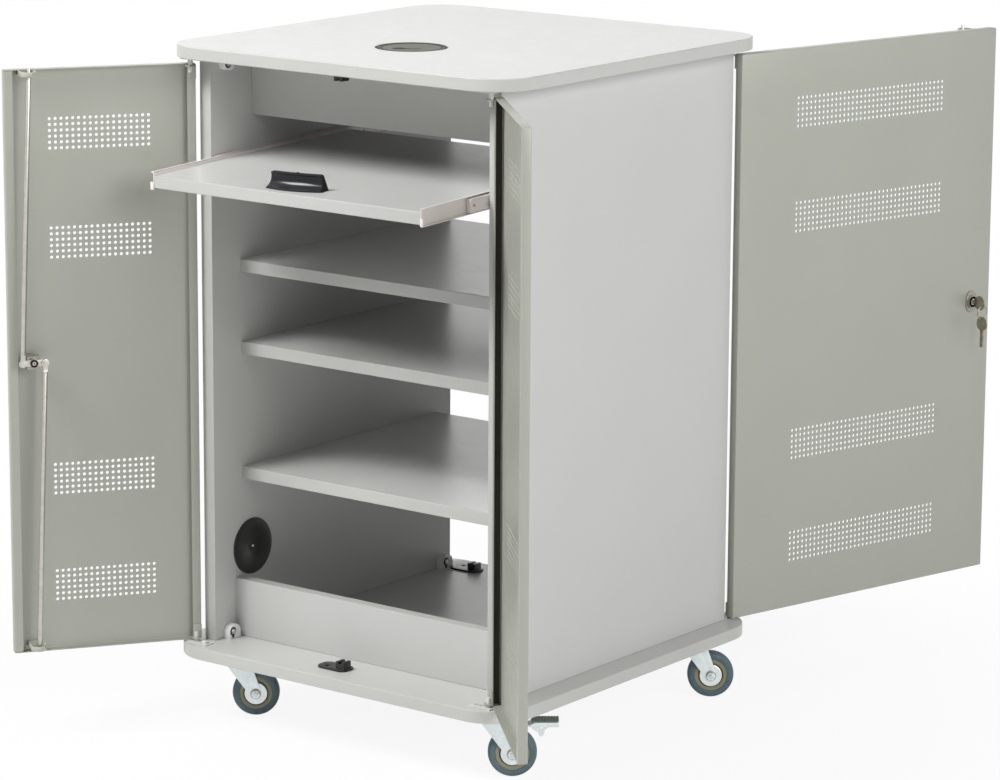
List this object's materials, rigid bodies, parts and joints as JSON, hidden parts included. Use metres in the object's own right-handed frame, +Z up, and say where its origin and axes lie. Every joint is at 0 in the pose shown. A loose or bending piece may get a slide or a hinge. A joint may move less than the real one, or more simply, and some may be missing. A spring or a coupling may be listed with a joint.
{
  "type": "mobile multimedia cabinet",
  "caption": "Lockable cabinet on swivel castors: fixed shelves, a shelf on runners, perforated front and rear doors with rod locks, and cable ports.",
  "frame": {"origin": "on the floor under the middle of the two boards", "axes": "+X to the cabinet's right as seen from its front, +Y from the front to the rear, +Z up"},
  "size_m": [0.9835, 1.4188, 1.077],
  "materials": {
    "beech": "fluted beech",
    "black_gloss": "glossy black moulding",
    "black_plastic": "matt black moulding",
    "chromed": "nickel and chrome plate",
    "cream_plastic": "cream nylon",
    "door_paint": "fine textured grey powder coat",
    "grey_cap": "grey moulding with a fine grain",
    "grey_ring": "dark grey moulding",
    "laminate": "light grey melamine laminate on chipboard",
    "pedal_dark": "dark brown pedal with a zinc lever",
    "rim_khaki": "khaki polypropylene",
    "runner_paint": "off-white epoxy coat on folded steel",
    "tyre_grey": "blue-grey thermoplastic rubber",
    "white_plastic": "white nylon",
    "zinc": "bright zinc plate"
  },
  "bodies": {
    "carcass": {"base_board": "laminate", "top_board": "laminate", "left_side_panel": "laminate", "right_side_panel": "laminate", "upper_cross_panel": "laminate", "lower_cross_panel": "laminate", "upper_shelf": "laminate", "middle_shelf": "laminate", "lower_shelf": "laminate", "dowels": "beech", "fixing_blocks": "white_plastic", "screws": "zinc", "runner_cabinet_members": "runner_paint", "pivot_plates": "zinc", "door_strikes": "black_plastic", "grommet_ring": "grey_ring", "grommet_cap": "grey_cap", "side_port_cover": "black_plastic", "castor_plates": "zinc"},
    "pullout": {"pullout_shelf": "laminate", "runner_shelf_members": "runner_paint", "shelf_pull": "black_gloss"},
    "runner_middle": {"runner_middle_members": "zinc"},
    "left_leaf": {"left_door": "door_paint", "left_door_pivots": "door_paint", "front_lock_body": "black_plastic", "front_rod_guides": "cream_plastic"},
    "front_lock": {"front_lock_cam": "zinc"},
    "front_rod_up": {"front_upper_rod": "zinc"},
    "front_rod_down": {"front_lower_rod": "zinc"},
    "right_leaf": {"right_door": "door_paint", "right_door_pivots": "door_paint"},
    "rear_leaf": {"rear_door": "door_paint", "rear_door_pivots": "door_paint", "rear_lock_body": "zinc", "rear_rod_guides": "cream_plastic"},
    "rear_lock": {"rear_lock_cam": "zinc", "rear_key": "chromed"},
    "rear_rod_up": {"rear_upper_rod": "zinc"},
    "rear_rod_down": {"rear_lower_rod": "zinc"},
    "ring": {"key_ring": "chromed"},
    "spare": {"spare_key": "chromed"},
    "front_left_swivel": {"front_left_fork": "zinc", "front_left_axle": "white_plastic"},
    "front_left_wheel": {"front_left_rim": "rim_khaki", "front_left_tyre": "tyre_grey"},
    "front_right_swivel": {"front_right_fork": "zinc", "front_right_axle": "white_plastic"},
    "front_right_wheel": {"front_right_rim": "rim_khaki", "front_right_tyre": "tyre_grey"},
    "front_right_brake": {"front_right_brake_pedal": "pedal_dark"},
    "rear_left_swivel": {"rear_left_fork": "zinc", "rear_left_axle": "white_plastic"},
    "rear_left_wheel": {"rear_left_rim": "rim_khaki", "rear_left_tyre": "tyre_grey"},
    "rear_left_brake": {"rear_left_brake_pedal": "pedal_dark"},
    "rear_right_swivel": {"rear_right_fork": "zinc", "rear_right_axle": "white_plastic"},
    "rear_right_wheel": {"rear_right_rim": "rim_khaki", "rear_right_tyre": "tyre_grey"}
  },
  "joints": [
    {"name": "shelf_slide", "type": "slide", "parent": "carcass", "child": "pullout", "axis": [0, -0.9994, -0.0349], "range_m": [-0.15, 0.15]},
    {"name": "middle_slide", "type": "slide", "parent": "carcass", "child": "runner_middle", "axis": [0, -0.9994, -0.0349], "range_m": [-0.075, 0.075]},
    {"name": "left_door_hinge", "type": "hinge", "parent": "carcass", "child": "left_leaf", "pos_m": [-0.2915, -0.32, 0.133], "axis": [0, 0, -1], "range_deg": [-50, 50]},
    {"name": "right_door_hinge", "type": "hinge", "parent": "carcass", "child": "right_leaf", "pos_m": [0.2915, -0.32, 0.133], "axis": [0, 0, 1], "range_deg": [-58, 40.35]},
    {"name": "rear_door_hinge", "type": "hinge", "parent": "carcass", "child": "rear_leaf", "pos_m": [0.2835, 0.3149, 0.133], "axis": [0, 0, -1], "range_deg": [-104.25, 15.75]},
    {"name": "front_lock_turn", "type": "hinge", "parent": "left_leaf", "child": "front_lock", "pos_m": [-0.42631, -0.53689, 0.594], "axis": [-0.8197, 0.5729, 0], "range_deg": [0, 90]},
    {"name": "front_upper_rod_pin", "type": "hinge", "parent": "front_lock", "child": "front_rod_up", "pos_m": [-0.43404, -0.55284, 0.594], "axis": [-0.8197, 0.5729, 0], "range_deg": [-92.19, 0]},
    {"name": "front_lower_rod_pin", "type": "hinge", "parent": "front_lock", "child": "front_rod_down", "pos_m": [-0.41399, -0.52415, 0.594], "axis": [-0.8197, 0.5729, 0], "range_deg": [-92.19, 0]},
    {"name": "rear_lock_turn", "type": "hinge", "parent": "rear_leaf", "child": "rear_lock", "pos_m": [0.40373, 0.82345, 0.59], "axis": [0.9692, -0.2462, 0], "range_deg": [0, 90]},
    {"name": "rear_upper_rod_pin", "type": "hinge", "parent": "rear_lock", "child": "rear_rod_up", "pos_m": [0.40532, 0.8411, 0.59], "axis": [0.9692, -0.2462, 0], "range_deg": [-92.19, 0]},
    {"name": "rear_lower_rod_pin", "type": "hinge", "parent": "rear_lock", "child": "rear_rod_down", "pos_m": [0.39671, 0.80718, 0.59], "axis": [0.9692, -0.2462, 0], "range_deg": [-92.19, 0]},
    {"name": "key_ring_swing", "type": "hinge", "parent": "rear_lock", "child": "ring", "pos_m": [0.46358, 0.80825, 0.586], "axis": [0.2462, 0.9692, 0], "range_deg": [-30, 12]},
    {"name": "spare_key_swing", "type": "hinge", "parent": "ring", "child": "spare", "pos_m": [0.46358, 0.80825, 0.564], "axis": [0.2462, 0.9692, 0], "range_deg": [-20, 8]},
    {"name": "front_left_castor_swivel", "type": "hinge", "parent": "carcass", "child": "front_left_swivel", "pos_m": [-0.256, -0.266, 0.092], "axis": [0, 0, 1], "continuous": true},
    {"name": "front_left_wheel_spin", "type": "hinge", "parent": "front_left_swivel", "child": "front_left_wheel", "pos_m": [-0.23058, -0.24656, 0.0375], "axis": [-0.6074, 0.7944, 0], "continuous": true},
    {"name": "front_right_castor_swivel", "type": "hinge", "parent": "carcass", "child": "front_right_swivel", "pos_m": [0.256, -0.266, 0.092], "axis": [0, 0, 1], "continuous": true},
    {"name": "front_right_wheel_spin", "type": "hinge", "parent": "front_right_swivel", "child": "front_right_wheel", "pos_m": [0.28142, -0.24656, 0.0375], "axis": [-0.6074, 0.7944, 0], "continuous": true},
    {"name": "front_right_brake_press", "type": "hinge", "parent": "front_right_swivel", "child": "front_right_brake", "pos_m": [0.26871, -0.25628, 0.081], "axis": [-0.6074, 0.7944, 0], "range_deg": [0, 6]},
    {"name": "rear_left_castor_swivel", "type": "hinge", "parent": "carcass", "child": "rear_left_swivel", "pos_m": [-0.256, 0.266, 0.092], "axis": [0, 0, 1], "continuous": true},
    {"name": "rear_left_wheel_spin", "type": "hinge", "parent": "rear_left_swivel", "child": "rear_left_wheel", "pos_m": [-0.23058, 0.28544, 0.0375], "axis": [-0.6074, 0.7944, 0], "continuous": true},
    {"name": "rear_left_brake_press", "type": "hinge", "parent": "rear_left_swivel", "child": "rear_left_brake", "pos_m": [-0.24329, 0.27572, 0.081], "axis": [-0.6074, 0.7944, 0], "range_deg": [0, 6]},
    {"name": "rear_right_castor_swivel", "type": "hinge", "parent": "carcass", "child": "rear_right_swivel", "pos_m": [0.256, 0.266, 0.092], "axis": [0, 0, 1], "continuous": true},
    {"name": "rear_right_wheel_spin", "type": "hinge", "parent": "rear_right_swivel", "child": "rear_right_wheel", "pos_m": [0.28142, 0.28544, 0.0375], "axis": [-0.6074, 0.7944, 0], "continuous": true}
  ],
  "couplings": [
    {"joint": "middle_slide", "follows": "shelf_slide", "ratio": 0.5},
    {"joint": "front_upper_rod_pin", "follows": "front_lock_turn", "ratio": -1.0243},
    {"joint": "front_lower_rod_pin", "follows": "front_lock_turn", "ratio": -1.0243},
    {"joint": "rear_upper_rod_pin", "follows": "rear_lock_turn", "ratio": -1.0243},
    {"joint": "rear_lower_rod_pin", "follows": "rear_lock_turn", "ratio": -1.0243}
  ]
}
